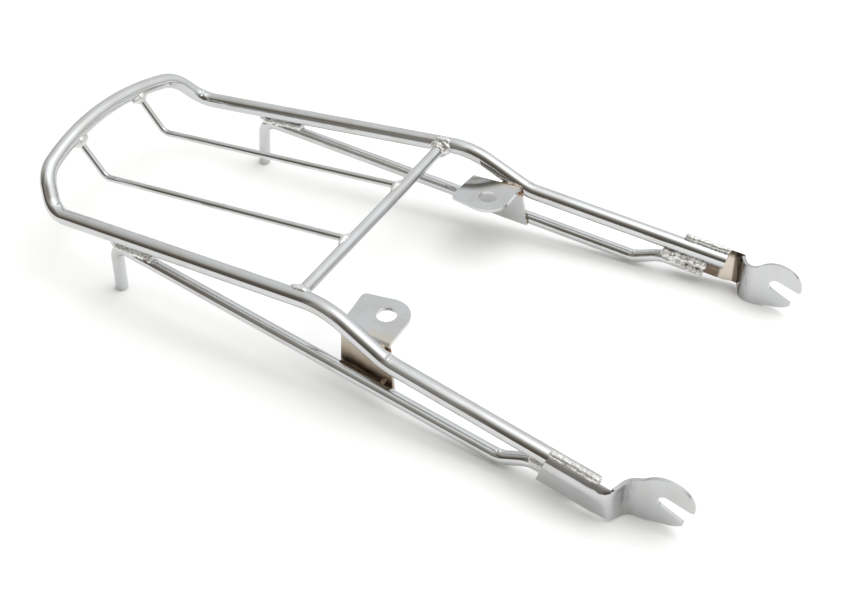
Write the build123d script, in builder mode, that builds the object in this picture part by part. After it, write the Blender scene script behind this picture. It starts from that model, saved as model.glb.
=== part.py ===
from build123d import *
import math
import os

# Motorcycle luggage rack, welded from bent tube, rod and sheet steel, chrome plated.
# +X is the right side, +Y is forward and +Z is up. It lies as it rests on a floor: on the
# square-cut ends of its two rear pegs and on the lower corners of its two fork brackets.
# The right-hand pieces are modelled, and the left-hand ones are their mirror images.
# All sizes are millimetres.

# Stock
rail_od = 14.0
rail_wall = 1.5
cross_bar_od = 10.0
slat_od = 6.0
strut_od = 11.0
tab_sheet = 3.0
fork_sheet = 3.0
weld_gap = 0.6
weld_fit = 0.3

# Rails of the main loop: half the spacing and the height of the tube axis at each bend
front_half_width = 136.0
front_height = 26.0
foot_half_width = 121.0
foot_height = 49.0
top_half_width = 116.5
top_height = 77.0
rear_half_width = 103.3
rear_height = 54.3
front_run = 175.0
ramp_run = 54.0
platform_run = 282.5
foot_bend = 45.0
ramp_bend = 65.0
kick_bend = 21.5

# Raised rear of the main loop, measured up its own slope from the kick-up bend
loop_angle = 56.0
corner_half_width = 86.6
corner_rise = 31.0
crown_rise = 56.4
corner_bend = 32.0
crown_fill = 0.98

# Cross bar and slats
cross_bar_back = 81.0
cross_bar_drop = 2.0
slat_half_spacing = 40.5
slat_proud = 4.0
slat_bend_ahead = 3.0
slat_bend_drop = 1.3
slat_bend_radius = 18.0

# Struts, each with a peg bent down at its rear end
peg_back = 267.5
peg_bend = 14.0
strut_front = 98.5
strut_floor_gap = 1.2
tail_start = 121.5
tail_end = 159.0
tail_drop = 16.0
tail_inset = 2.0
strut_bend = 22.0
tail_bend = 22.0

# Tab brackets: a level flange with a hole, folded from a web between rail and strut
tab_seat_back = 10.0
tab_rear = 49.5
web_front = 3.0
web_lap = 3.0
flange_height = 58.0
flange_corner_half_width = 71.0
flange_rear_slant = 4.0
flange_corner_fillet = 4.0
fold_radius = 4.5
hole_half_spacing = 84.6
hole_back = 20.9
hole_diameter = 16.0
nose_radius = 18.5

# Fork brackets: a wall with its top rolled over the rail, a joggle and an open fork plate
roll_fit = 0.3
roll_end_angle = 116.0
wall_rear = 136.0
wall_depth = 23.0
wall_lean = 12.0
wall_front = 187.0
joggle_run = 9.0
joggle_bend = 10.0
fork_half_width = 126.5
fork_toe_start = 194.5
fork_toe_end = 203.0
eye_forward = 220.0
eye_height = 24.3
eye_radius = 21.0
neck_rise = 12.5
neck_start_drop = 2.0
neck_fillet = 16.0
slot_width = 10.5
slot_slope = -22.0
slot_flare = 4.5
upper_tine_fillet = 2.5
lower_tine_fillet = 2.0

# Weld beads
cross_bead = 2.6
cross_bead_tilt = 18.0
cross_bead_bite = 0.7
slat_front_bead = 4.8
slat_rear_bead = 5.8
slat_bead_bite = 0.8
strut_bead = 4.2
strut_seam = 28.0
tab_bead = 3.1
tab_bead_proud = 1.2
tab_rail_back = 20.0
tab_rail_seam = 16.0
tab_strut_back = 39.0
tab_strut_lift = 3.6
tab_strut_seam = 33.0
roll_bead = 2.4
roll_bead_angle = 104.0
roll_seam_start = 10.0
roll_seam = 26.0
tail_bead = 4.4
tail_bead_shift = 4.5
tail_seam_start_inset = 6.5
tail_seam_end_inset = 2.0

# Shape of the raised rear, in its own sloping plane
slope_cos = math.cos(math.radians(loop_angle))
slope_sin = math.sin(math.radians(loop_angle))
leg_slope = math.atan2(corner_rise, rear_half_width - corner_half_width)
crown_slope = math.atan2(crown_rise - corner_rise, corner_half_width)
corner_tangent = corner_bend * math.tan((leg_slope - crown_slope) / 2)
crown_span = math.hypot(corner_half_width, crown_rise - corner_rise) - corner_tangent
crown_bend = crown_fill * crown_span / math.tan(crown_slope)
apex_rise = crown_rise - crown_bend * (1 / math.cos(crown_slope) - 1)

# The middle of the length is at Y zero
rear_reach = ramp_run + platform_run + apex_rise * slope_cos + rail_od / 2
front_reach = eye_forward + eye_radius
foot_y = (rear_reach - front_reach) / 2
top_y = foot_y - ramp_run
rear_y = top_y - platform_run
front_y = foot_y + front_run


def up_slope(half_width, rise):
    """A point in the plane of the raised rear."""
    return Vector(half_width, rear_y - rise * slope_cos, rear_height + rise * slope_sin)


def mirrored(point):
    """The same point on the left side."""
    return Vector(-point.X, point.Y, point.Z)


def between(start, end, y):
    """The point of a straight run at one Y."""
    return start + (end - start) * ((y - start.Y) / (end.Y - start.Y))


rail_front = Vector(front_half_width, front_y, front_height)
rail_foot = Vector(foot_half_width, foot_y, foot_height)
rail_top = Vector(top_half_width, top_y, top_height)
rail_rear = Vector(rear_half_width, rear_y, rear_height)
rail_corner = up_slope(corner_half_width, corner_rise)
rail_dir = (rail_front - rail_foot).normalized()
rail_out = Vector(rail_dir.Y, -rail_dir.X, 0).normalized()
rail_up = rail_out.cross(rail_dir)
right_rail = [rail_front, rail_foot, rail_top, rail_rear, rail_corner]
left_rail = [mirrored(point) for point in reversed(right_rail)]
loop_points = right_rail + [up_slope(0, crown_rise)] + left_rail
side_bends = [foot_bend, ramp_bend, kick_bend, corner_bend]
loop_bends = side_bends + [crown_bend] + side_bends[::-1]

# Main loop: one tube from the right front end round the raised rear to the left front end
with BuildLine() as loop_path:
    FilletPolyline(*loop_points, radius=loop_bends)
loop_end = Plane(origin=loop_path.line @ 0, z_dir=loop_path.line % 0)

with BuildPart() as loop_cope:
    with BuildSketch(loop_end):
        Circle(rail_od / 2 + weld_fit)
    sweep(path=loop_path.line)

with BuildPart() as main_loop_tube:
    with BuildSketch(loop_end):
        Circle(rail_od / 2)
        Circle(rail_od / 2 - rail_wall, mode=Mode.SUBTRACT)
    sweep(path=loop_path.line)

# Cross bar between the rails, its ends coped to them
cross_bar_y = foot_y - cross_bar_back
cross_bar_seat = between(rail_rear, rail_top, cross_bar_y)
cross_bar_z = cross_bar_seat.Z - cross_bar_drop

with BuildPart() as cross_bar_cope:
    with BuildSketch(Plane.YZ):
        with Locations((cross_bar_y, cross_bar_z)):
            Circle(cross_bar_od / 2 + weld_fit)
    extrude(amount=cross_bar_seat.X, both=True)

with BuildPart() as cross_bar:
    with BuildSketch(Plane.YZ):
        with Locations((cross_bar_y, cross_bar_z)):
            Circle(cross_bar_od / 2)
    extrude(amount=cross_bar_seat.X, both=True)
    add(loop_cope.part, mode=Mode.SUBTRACT)

# Slats: rod from the cross bar back to the raised rear, coped at both ends
crown_centre_rise = apex_rise - crown_bend
slat_top_rise = crown_centre_rise + math.sqrt(crown_bend ** 2 - slat_half_spacing ** 2)
slat_top = up_slope(slat_half_spacing, slat_top_rise)
slat_bend_point = Vector(slat_half_spacing, rear_y + slat_bend_ahead, rear_height - slat_bend_drop)
slat_front = Vector(slat_half_spacing, cross_bar_y, cross_bar_z + slat_proud)

with BuildLine() as slat_path:
    FilletPolyline(slat_front, slat_bend_point, slat_top, radius=slat_bend_radius)
slat_end = Plane(origin=slat_path.line @ 0, z_dir=slat_path.line % 0)

with BuildPart() as slat_cope:
    with BuildSketch(slat_end):
        Circle(slat_od / 2 + weld_fit)
    sweep(path=slat_path.line)

with BuildPart() as slat_right:
    with BuildSketch(slat_end):
        Circle(slat_od / 2)
    sweep(path=slat_path.line)
    add(loop_cope.part, mode=Mode.SUBTRACT)
    add(cross_bar_cope.part, mode=Mode.SUBTRACT)

# Struts: each leaves its rail at the peg bend, runs under it and turns up along it in front
strut_seat_drop = (rail_od + strut_od) / 2 + weld_gap
strut_seat = between(rail_rear, rail_top, foot_y - peg_back + peg_bend)
strut_seat = strut_seat - Vector(0, 0, strut_seat_drop)
strut_low = between(rail_foot, rail_front, foot_y + strut_front)
strut_low = Vector(strut_low.X, strut_low.Y, strut_od / 2 + strut_floor_gap)
strut_heel = between(strut_seat, strut_low, foot_y - peg_back)
tail_place = Vector(0, 0, -tail_drop) - rail_out * tail_inset
tail_low = between(rail_foot, rail_front, foot_y + tail_start) + tail_place
tail_tip = between(rail_foot, rail_front, foot_y + tail_end) + tail_place
strut_dir = (strut_low - strut_heel).normalized()
strut_side = Vector(strut_dir.Y, -strut_dir.X, 0).normalized()
peg_dir = strut_dir.cross(strut_side)
peg_lean = math.hypot(peg_dir.X, peg_dir.Y)
peg_length = (strut_heel.Z - strut_od / 2 * peg_lean) / -peg_dir.Z
peg_foot = strut_heel + peg_dir * peg_length

with BuildLine() as strut_path:
    FilletPolyline(
        peg_foot, strut_heel, strut_low, tail_low, tail_tip,
        radius=[peg_bend, strut_bend, tail_bend],
    )
strut_end = Plane(origin=strut_path.line @ 0, z_dir=strut_path.line % 0)

with BuildPart() as strut_cope:
    with BuildSketch(strut_end):
        Circle(strut_od / 2 + weld_fit)
    sweep(path=strut_path.line)

with BuildPart() as strut_right:
    with BuildSketch(strut_end):
        Circle(strut_od / 2)
    sweep(path=strut_path.line)

# Tab brackets: the web leans so that it lies against the inner sides of rail and strut
tab_seat_y = foot_y - tab_seat_back
tab_rail = between(rail_top, rail_foot, tab_seat_y)
tab_strut = between(strut_heel, strut_low, tab_seat_y)
web_high = tab_rail.X - rail_od / 2 - weld_gap
web_low = tab_strut.X - strut_od / 2 - weld_gap
web_lean = (web_low - web_high) / (tab_rail.Z - tab_strut.Z)
web_thick = tab_sheet * math.hypot(1, web_lean)
tab_dir = Vector(strut_dir.X, strut_dir.Y, 0).normalized()
tab_in = Vector(-tab_dir.Y, tab_dir.X, 0)
fold_floor = flange_height - fold_radius - 1
web_floor = tab_strut.Z - strut_od


def web_face(height):
    """Place of the web's outer face in the fold profile, counted inboard."""
    return web_lean * (height - tab_rail.Z)


def fold_plane(back):
    """Plane square to the fold at a distance behind the ramp foot."""
    start = Vector(web_high, tab_seat_y, 0) + tab_dir * (tab_seat_back - back)
    return Plane(origin=start, x_dir=tab_in, z_dir=tab_dir)


def web_point(back, height, proud):
    """A point at a distance outboard of the web's outer face."""
    return fold_plane(back).from_local_coords(Vector(web_face(height) - proud, height, 0))


def tangent_point(centre, radius, outside, turn):
    """Where a line from an outside point touches a circle, on the side that turn picks."""
    reach = Vector(outside[0] - centre[0], outside[1] - centre[1])
    angle = math.atan2(reach.Y, reach.X) + turn * math.acos(radius / reach.length)
    return (centre[0] + radius * math.cos(angle), centre[1] + radius * math.sin(angle))


hole_centre = (hole_half_spacing, foot_y - hole_back)
flange_corner = (flange_corner_half_width, foot_y - tab_rear)
flange_side = tangent_point(hole_centre, nose_radius, flange_corner, -1)
flange_front_y = hole_centre[1] + nose_radius
fold_far = web_low + tab_sheet

with BuildPart() as tab_bracket_right:
    with BuildSketch(fold_plane(tab_rear + fold_radius)):
        with BuildLine():
            fold_line = FilletPolyline(
                (web_high, flange_height),
                (web_face(flange_height), flange_height),
                (web_face(fold_floor), fold_floor),
                radius=fold_radius,
            )
            offset(fold_line, amount=tab_sheet, side=Side.LEFT)
        make_face()
    extrude(amount=tab_rear + web_front + 2 * fold_radius)
    with BuildSketch(Plane.XY.offset(fold_floor)) as flange_outline:
        with BuildLine():
            Polyline(
                (fold_far, flange_corner[1] + flange_rear_slant),
                flange_corner,
                flange_side,
                hole_centre,
                (hole_centre[0], flange_front_y),
                (fold_far, flange_front_y),
                close=True,
            )
        make_face()
        with Locations(hole_centre):
            Circle(nose_radius)
            Circle(hole_diameter / 2, mode=Mode.SUBTRACT)
        fillet(flange_outline.vertices().sort_by_distance(flange_corner)[0], radius=flange_corner_fillet)
    extrude(amount=flange_height - fold_floor, mode=Mode.INTERSECT)
    with BuildSketch(fold_plane(tab_rear - flange_rear_slant)):
        Polygon(
            (web_face(fold_floor), fold_floor),
            (web_face(web_floor), web_floor),
            (web_face(web_floor) + web_thick, web_floor),
            (web_face(fold_floor) + web_thick, fold_floor),
            align=None,
        )
    extrude(amount=tab_rear - flange_rear_slant + web_front)
    split(bisect_by=Plane(tab_strut - Vector(0, 0, web_lap), z_dir=-peg_dir), keep=Keep.TOP)

# Fork brackets: the bent strip in plan, cut to its outline from the side. Along the rail its
# top is rolled over the tube, and its wall leans in below the tube.
roll_inner = rail_od / 2 + roll_fit
roll_outer = roll_inner + fork_sheet
wall_seat = between(rail_foot, rail_front, foot_y + wall_rear)
wall_nose = between(rail_foot, rail_front, foot_y + wall_front)
wall_corner = wall_nose + rail_out * roll_outer
wall_back = wall_corner - rail_dir * (wall_front - wall_rear) * 2
fork_face = fork_half_width + fork_sheet / 2
fork_far_y = foot_y + eye_forward + eye_radius * 2
strip_points = [
    (wall_back.X, wall_back.Y),
    (wall_corner.X, wall_corner.Y),
    (fork_face, wall_corner.Y + joggle_run),
    (fork_face, fork_far_y),
]
eye_centre = (foot_y + eye_forward, eye_height)
roll_plane = Plane(origin=wall_seat, x_dir=-rail_out, z_dir=rail_dir)
roll_tip = math.radians(roll_end_angle)
lean_sin = math.sin(math.radians(wall_lean))
lean_cos = math.cos(math.radians(wall_lean))
reach = roll_outer * 8


def roll_section(inner, outer, tip):
    """The rolled top's ring, from the leaning wall over the rail to its lip."""
    with BuildSketch(roll_plane) as section:
        Circle(outer)
        Circle(inner, mode=Mode.SUBTRACT)
        with BuildLine():
            Polyline(
                (0, 0),
                (-reach, -reach * lean_sin / lean_cos),
                (-reach, reach),
                (reach / math.tan(tip), reach),
                close=True,
            )
        make_face(mode=Mode.INTERSECT)
    return section.sketch


def lean_point(distance, down):
    """A point at a distance from the rail axis along the leaning wall."""
    return (down * lean_sin - distance * lean_cos, -down * lean_cos - distance * lean_sin)


with BuildSketch(Plane.XY) as strip_inside:
    with BuildLine():
        FilletPolyline(*strip_points, radius=joggle_bend)
        Polyline(
            strip_points[-1],
            (0, fork_far_y),
            (0, wall_back.Y),
            strip_points[0],
        )
    make_face()

with BuildPart() as roll:
    extrude(roll_section(roll_inner, roll_outer, roll_tip), amount=reach)
    extrude(strip_inside.sketch, amount=reach, mode=Mode.INTERSECT)

with BuildPart() as leaning_wall:
    with BuildSketch(roll_plane):
        with BuildLine():
            Polyline(
                lean_point(roll_outer, 0),
                lean_point(roll_outer, reach),
                lean_point(roll_inner, reach),
                lean_point(roll_inner, 0),
                close=True,
            )
        make_face()
    extrude(amount=reach)
    extrude(strip_inside.sketch, amount=reach, mode=Mode.INTERSECT)

with BuildPart() as roll_cope:
    lip_fit = weld_fit / roll_inner
    extrude(roll_section(rail_od / 2, roll_outer + weld_fit, roll_tip - lip_fit), amount=reach)

wall_rear_top = wall_seat + rail_up * roll_outer
wall_rear_low = wall_seat - rail_up * wall_depth
neck_start = wall_nose + rail_up * (roll_outer - neck_start_drop)
neck_z = wall_nose.Z + neck_rise
neck_y = eye_centre[0] - math.sqrt(eye_radius ** 2 - (neck_z - eye_height) ** 2)
wall_front_low = wall_nose - rail_up * wall_depth
toe_start = (foot_y + fork_toe_start, 0)
toe_end = (foot_y + fork_toe_end, 0)
toe_touch = tangent_point(eye_centre, eye_radius, toe_end, 1)
upper_edge = math.radians(slot_slope + slot_flare)
lower_edge = math.radians(slot_slope - slot_flare)
slot_radius = slot_width / 2
slot_reach = eye_radius * 2
tine_run = math.sqrt(eye_radius ** 2 - slot_radius ** 2)


def slot_edge(angle, side, distance):
    """A point along one edge of the fork's open slot."""
    across = angle + side * math.pi / 2
    return (
        eye_centre[0] + slot_radius * math.cos(across) + distance * math.cos(angle),
        eye_centre[1] + slot_radius * math.sin(across) + distance * math.sin(angle),
    )


with BuildPart() as fork_bracket_right:
    with BuildSketch(Plane.XY):
        with BuildLine():
            strip_line = FilletPolyline(*strip_points, radius=joggle_bend)
            offset(strip_line, amount=fork_sheet, side=Side.LEFT)
        make_face()
    extrude(amount=reach)
    add(leaning_wall.part)
    with BuildSketch(Plane.YZ) as fork_outline:
        with BuildLine():
            Polyline(
                (wall_rear_top.Y, wall_rear_top.Z),
                (wall_rear_low.Y, wall_rear_low.Z),
                (wall_front_low.Y, wall_front_low.Z),
                toe_start,
                toe_end,
                toe_touch,
                eye_centre,
                (eye_centre[0], neck_z),
                (neck_y, neck_z),
                (neck_start.Y, neck_start.Z),
                close=True,
            )
        make_face()
        with Locations(eye_centre):
            Circle(eye_radius)
        with BuildLine():
            Polyline(
                slot_edge(upper_edge, 1, 0),
                slot_edge(upper_edge, 1, slot_reach),
                slot_edge(lower_edge, -1, slot_reach),
                slot_edge(lower_edge, -1, 0),
                close=True,
            )
        make_face(mode=Mode.SUBTRACT)
        with Locations(eye_centre):
            Circle(slot_radius, mode=Mode.SUBTRACT)
        for point, radius in (
            ((neck_y, neck_z), neck_fillet),
            (slot_edge(upper_edge, 1, tine_run), upper_tine_fillet),
            (slot_edge(lower_edge, -1, tine_run), lower_tine_fillet),
        ):
            fillet(fork_outline.vertices().sort_by_distance(point)[0], radius=radius)
    extrude(amount=wall_corner.X + roll_outer, mode=Mode.INTERSECT)
    with BuildSketch(roll_plane):
        Circle(roll_outer)
        Rectangle(reach, reach * 2, align=(Align.MIN, Align.CENTER))
        with BuildLine():
            Polyline(
                (0, 0),
                lean_point(roll_outer, 0),
                lean_point(roll_outer, reach),
                (reach, -reach),
                close=True,
            )
        make_face()
    extrude(amount=reach * 2, both=True, mode=Mode.INTERSECT)
    add(roll.part)

# Welds: round beads cut back to the pieces that they join


def rod(start, end, radius):
    """A straight round bar between two points."""
    with BuildPart() as bar:
        with BuildSketch(Plane(origin=start, z_dir=end - start)):
            Circle(radius)
        extrude(amount=(end - start).length)
    return bar.part


def bead(start, end, radius):
    """A straight weld bead with round ends, between two points."""
    run = end - start
    with BuildPart() as seam:
        with BuildSketch(Plane(origin=start, x_dir=run, z_dir=run.cross(Vector(0, 0, 1)))):
            with BuildLine():
                Line((0, radius), (run.length, radius))
                CenterArc((run.length, 0), radius, 90, -90)
                Line((run.length + radius, 0), (-radius, 0))
                CenterArc((0, 0), radius, 180, -90)
            make_face()
        revolve(axis=Axis(start, run))
    return seam.part


front_cope = rod(rail_foot, rail_front, rail_od / 2 + weld_fit)
strut_run_cope = rod(strut_heel, strut_low, strut_od / 2 + weld_fit)
slat_run = (slat_front - slat_bend_point).normalized()
slat_run_cope = rod(slat_bend_point, slat_front + slat_run * slat_front_bead, slat_od / 2 + weld_fit)
tail_cope = rod(tail_low, tail_tip, strut_od / 2 + weld_fit)

with BuildPart() as cross_bar_weld_right:
    bead_x = cross_bar_seat.X - rail_od / 2 + cross_bead_bite
    with Locations(Location((bead_x, cross_bar_y, cross_bar_z), (0, 90 - cross_bead_tilt, 0))):
        Torus(cross_bar_od / 2, cross_bead)
    add(cross_bar_cope.part, mode=Mode.SUBTRACT)
    add(loop_cope.part, mode=Mode.SUBTRACT)

with BuildPart() as slat_front_weld_right:
    slat_meet = math.sqrt((cross_bar_od / 2) ** 2 - slat_proud ** 2)
    with Locations(slat_front - Vector(0, slat_meet + slat_bead_bite, 0)):
        Sphere(slat_front_bead)
    add(cross_bar_cope.part, mode=Mode.SUBTRACT)
    add(slat_run_cope, mode=Mode.SUBTRACT)

with BuildPart() as slat_rear_weld_right:
    slat_rise = (slat_top - slat_bend_point).normalized()
    with Locations(slat_top - slat_rise * (rail_od / 2 + slat_bead_bite)):
        Sphere(slat_rear_bead)
    add(loop_cope.part, mode=Mode.SUBTRACT)
    add(slat_cope.part, mode=Mode.SUBTRACT)

strut_seam_dir = ((rail_top - rail_rear).normalized() + strut_dir).normalized()
strut_seam_start = strut_seat + Vector(0, 0, (strut_od + weld_gap) / 2)
with BuildPart() as strut_weld_right:
    add(bead(strut_seam_start, strut_seam_start + strut_seam_dir * strut_seam, strut_bead))
    add(loop_cope.part, mode=Mode.SUBTRACT)
    add(strut_cope.part, mode=Mode.SUBTRACT)

web_out = (Vector(0, 0, web_lean) - tab_in).normalized()
web_side = Plane(web_point(0, tab_rail.Z, 0) + web_out * weld_fit, z_dir=web_out)
tab_rail_height = flange_height - tab_bead
tab_rail_start = web_point(tab_rail_back, tab_rail_height, tab_bead_proud)
with BuildPart() as tab_rail_weld_right:
    add(bead(tab_rail_start, tab_rail_start + tab_dir * tab_rail_seam, tab_bead))
    split(bisect_by=web_side, keep=Keep.TOP)
    add(loop_cope.part, mode=Mode.SUBTRACT)

tab_strut_axis = between(strut_heel, strut_low, foot_y - tab_strut_back)
tab_strut_start = web_point(tab_strut_back, tab_strut_axis.Z + tab_strut_lift, tab_bead_proud)
with BuildPart() as tab_strut_weld_right:
    add(bead(tab_strut_start, tab_strut_start + strut_dir * tab_strut_seam, tab_bead))
    split(bisect_by=web_side, keep=Keep.TOP)
    add(strut_run_cope, mode=Mode.SUBTRACT)

roll_bead_at = math.radians(roll_bead_angle)
roll_bead_lift = roll_inner + roll_bead / 2
roll_seam_at = wall_seat + rail_dir * roll_seam_start
roll_seam_at = roll_seam_at - rail_out * roll_bead_lift * math.cos(roll_bead_at)
roll_seam_at = roll_seam_at + rail_up * roll_bead_lift * math.sin(roll_bead_at)
with BuildPart() as roll_weld_right:
    add(bead(roll_seam_at, roll_seam_at + rail_dir * roll_seam, roll_bead))
    add(front_cope, mode=Mode.SUBTRACT)
    add(roll_cope.part, mode=Mode.SUBTRACT)

tail_gap = tail_drop - (rail_od + strut_od) / 2
tail_lift = Vector(0, 0, (strut_od + tail_gap) / 2) + rail_out * tail_bead_shift
tail_seam_start = tail_low + rail_dir * tail_seam_start_inset + tail_lift
tail_seam_end = tail_tip - rail_dir * tail_seam_end_inset + tail_lift
with BuildPart() as tail_weld_right:
    add(bead(tail_seam_start, tail_seam_end, tail_bead))
    add(front_cope, mode=Mode.SUBTRACT)
    add(tail_cope, mode=Mode.SUBTRACT)
    add(fork_bracket_right.part, mode=Mode.SUBTRACT)

# Left-hand pieces
with BuildPart() as slat_left:
    mirror(slat_right.part, about=Plane.YZ)

with BuildPart() as strut_left:
    mirror(strut_right.part, about=Plane.YZ)

with BuildPart() as tab_bracket_left:
    mirror(tab_bracket_right.part, about=Plane.YZ)

with BuildPart() as fork_bracket_left:
    mirror(fork_bracket_right.part, about=Plane.YZ)

with BuildPart() as cross_bar_weld_left:
    mirror(cross_bar_weld_right.part, about=Plane.YZ)

with BuildPart() as slat_front_weld_left:
    mirror(slat_front_weld_right.part, about=Plane.YZ)

with BuildPart() as slat_rear_weld_left:
    mirror(slat_rear_weld_right.part, about=Plane.YZ)

with BuildPart() as strut_weld_left:
    mirror(strut_weld_right.part, about=Plane.YZ)

with BuildPart() as tab_rail_weld_left:
    mirror(tab_rail_weld_right.part, about=Plane.YZ)

with BuildPart() as tab_strut_weld_left:
    mirror(tab_strut_weld_right.part, about=Plane.YZ)

with BuildPart() as roll_weld_left:
    mirror(roll_weld_right.part, about=Plane.YZ)

with BuildPart() as tail_weld_left:
    mirror(tail_weld_right.part, about=Plane.YZ)

# One file for each piece
os.makedirs("parts", exist_ok=True)
main_loop_tube.part.label = "main_loop_tube"
export_step(main_loop_tube.part, "parts/main_loop_tube.step")
cross_bar.part.label = "cross_bar"
export_step(cross_bar.part, "parts/cross_bar.step")
slat_right.part.label = "slat_right"
export_step(slat_right.part, "parts/slat_right.step")
slat_left.part.label = "slat_left"
export_step(slat_left.part, "parts/slat_left.step")
strut_right.part.label = "strut_right"
export_step(strut_right.part, "parts/strut_right.step")
strut_left.part.label = "strut_left"
export_step(strut_left.part, "parts/strut_left.step")
tab_bracket_right.part.label = "tab_bracket_right"
export_step(tab_bracket_right.part, "parts/tab_bracket_right.step")
tab_bracket_left.part.label = "tab_bracket_left"
export_step(tab_bracket_left.part, "parts/tab_bracket_left.step")
fork_bracket_right.part.label = "fork_bracket_right"
export_step(fork_bracket_right.part, "parts/fork_bracket_right.step")
fork_bracket_left.part.label = "fork_bracket_left"
export_step(fork_bracket_left.part, "parts/fork_bracket_left.step")
cross_bar_weld_right.part.label = "cross_bar_weld_right"
export_step(cross_bar_weld_right.part, "parts/cross_bar_weld_right.step")
cross_bar_weld_left.part.label = "cross_bar_weld_left"
export_step(cross_bar_weld_left.part, "parts/cross_bar_weld_left.step")
slat_front_weld_right.part.label = "slat_front_weld_right"
export_step(slat_front_weld_right.part, "parts/slat_front_weld_right.step")
slat_front_weld_left.part.label = "slat_front_weld_left"
export_step(slat_front_weld_left.part, "parts/slat_front_weld_left.step")
slat_rear_weld_right.part.label = "slat_rear_weld_right"
export_step(slat_rear_weld_right.part, "parts/slat_rear_weld_right.step")
slat_rear_weld_left.part.label = "slat_rear_weld_left"
export_step(slat_rear_weld_left.part, "parts/slat_rear_weld_left.step")
strut_weld_right.part.label = "strut_weld_right"
export_step(strut_weld_right.part, "parts/strut_weld_right.step")
strut_weld_left.part.label = "strut_weld_left"
export_step(strut_weld_left.part, "parts/strut_weld_left.step")
tab_rail_weld_right.part.label = "tab_rail_weld_right"
export_step(tab_rail_weld_right.part, "parts/tab_rail_weld_right.step")
tab_rail_weld_left.part.label = "tab_rail_weld_left"
export_step(tab_rail_weld_left.part, "parts/tab_rail_weld_left.step")
tab_strut_weld_right.part.label = "tab_strut_weld_right"
export_step(tab_strut_weld_right.part, "parts/tab_strut_weld_right.step")
tab_strut_weld_left.part.label = "tab_strut_weld_left"
export_step(tab_strut_weld_left.part, "parts/tab_strut_weld_left.step")
roll_weld_right.part.label = "roll_weld_right"
export_step(roll_weld_right.part, "parts/roll_weld_right.step")
roll_weld_left.part.label = "roll_weld_left"
export_step(roll_weld_left.part, "parts/roll_weld_left.step")
tail_weld_right.part.label = "tail_weld_right"
export_step(tail_weld_right.part, "parts/tail_weld_right.step")
tail_weld_left.part.label = "tail_weld_left"
export_step(tail_weld_left.part, "parts/tail_weld_left.step")
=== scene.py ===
import math
import random

import bmesh
import bpy
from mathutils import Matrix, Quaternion, Vector


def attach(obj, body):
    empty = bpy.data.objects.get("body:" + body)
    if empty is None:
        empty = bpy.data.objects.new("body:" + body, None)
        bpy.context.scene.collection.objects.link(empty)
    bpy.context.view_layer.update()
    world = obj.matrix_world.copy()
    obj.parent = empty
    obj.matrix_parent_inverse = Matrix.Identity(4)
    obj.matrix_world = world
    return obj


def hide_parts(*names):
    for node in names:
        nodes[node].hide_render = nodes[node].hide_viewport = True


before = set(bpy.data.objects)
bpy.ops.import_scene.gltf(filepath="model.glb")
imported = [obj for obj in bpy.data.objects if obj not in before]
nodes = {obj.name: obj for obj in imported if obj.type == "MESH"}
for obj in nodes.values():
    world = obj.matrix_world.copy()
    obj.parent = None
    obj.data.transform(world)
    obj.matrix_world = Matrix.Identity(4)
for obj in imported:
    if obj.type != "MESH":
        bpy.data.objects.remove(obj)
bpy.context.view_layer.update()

# Dressing of the chrome luggage rack: tubes, rods, folded brackets and weld beads
# Lengths are metres, in the frame's own axes: +X right side, +Y forward, +Z up

# Stock sizes
RAIL_RADIUS = 0.00693
RAIL_WALL = 0.0015
CROSS_BAR_RADIUS = 0.005
SLAT_RADIUS = 0.003
STRUT_RADIUS = 0.0055
FORK_SHEET = 0.003

# Bend radii
FOOT_BEND = 0.045
TOP_BEND = 0.065
KICK_BEND = 0.0215
CORNER_BEND = 0.032
CROWN_BEND = 0.25688
SLAT_BEND = 0.011
PEG_BEND = 0.014
STRUT_BEND = 0.022

# Places along the rack, counted from the foot of the ramp
FOOT_Y = 0.0639936
TOP_Y = FOOT_Y - 0.054
REAR_Y = TOP_Y - 0.2825
REAR_Z = 0.0543
FRONT_Y = FOOT_Y + 0.175
CROSS_BAR_Y = FOOT_Y - 0.081
LOOP_SLOPE = math.radians(56)
CROWN_APEX = 0.04558
SLAT_X = 0.0405

ACROSS = Vector((1, 0, 0))
FORWARD = Vector((0, 1, 0))
UP = Vector((0, 0, 1))


def between(start, end, y):
    """The point of a straight run at one Y."""
    return start + (end - start) * ((y - start.y) / (end.y - start.y))


def up_slope(half_width, rise):
    """A point in the sloping plane of the raised rear."""
    back = rise * math.cos(LOOP_SLOPE)
    lift = rise * math.sin(LOOP_SLOPE)
    return Vector((half_width, REAR_Y - back, REAR_Z + lift))


def level(run):
    """A run's direction with its slope taken out."""
    return Vector((run.x, run.y, 0)).normalized()


def outboard(run):
    """The level direction square to a run of the right side, pointing out."""
    return Vector((run.y, -run.x, 0)).normalized()


def as_built(point):
    """A point of the right side, as it is."""
    return point


def mirrored(point):
    """The same point on the left side."""
    return Vector((-point.x, point.y, point.z))


TO_SIDE = {"right": as_built, "left": mirrored}

# Corners of the main loop, the cross bar and the slats
RAIL_FRONT = Vector((0.136, FRONT_Y, 0.026))
RAIL_FOOT = Vector((0.121, FOOT_Y, 0.049))
RAIL_TOP = Vector((0.1165, TOP_Y, 0.077))
RAIL_REAR = Vector((0.1033, REAR_Y, REAR_Z))
RAIL_CORNER = up_slope(0.0866, 0.031)
CROWN = up_slope(0, 0.0564)
PLATFORM_RUN = (RAIL_TOP - RAIL_REAR).normalized()
RAIL_RUN = (RAIL_FRONT - RAIL_FOOT).normalized()
RAIL_OUT = outboard(RAIL_RUN)
RAIL_UP = RAIL_OUT.cross(RAIL_RUN)
CROSS_BAR_SEAT = between(RAIL_REAR, RAIL_TOP, CROSS_BAR_Y)
CROSS_BAR_Z = CROSS_BAR_SEAT.z - 0.002
CROSS_BAR_MIDDLE = Vector((0, CROSS_BAR_Y, CROSS_BAR_Z))
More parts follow.
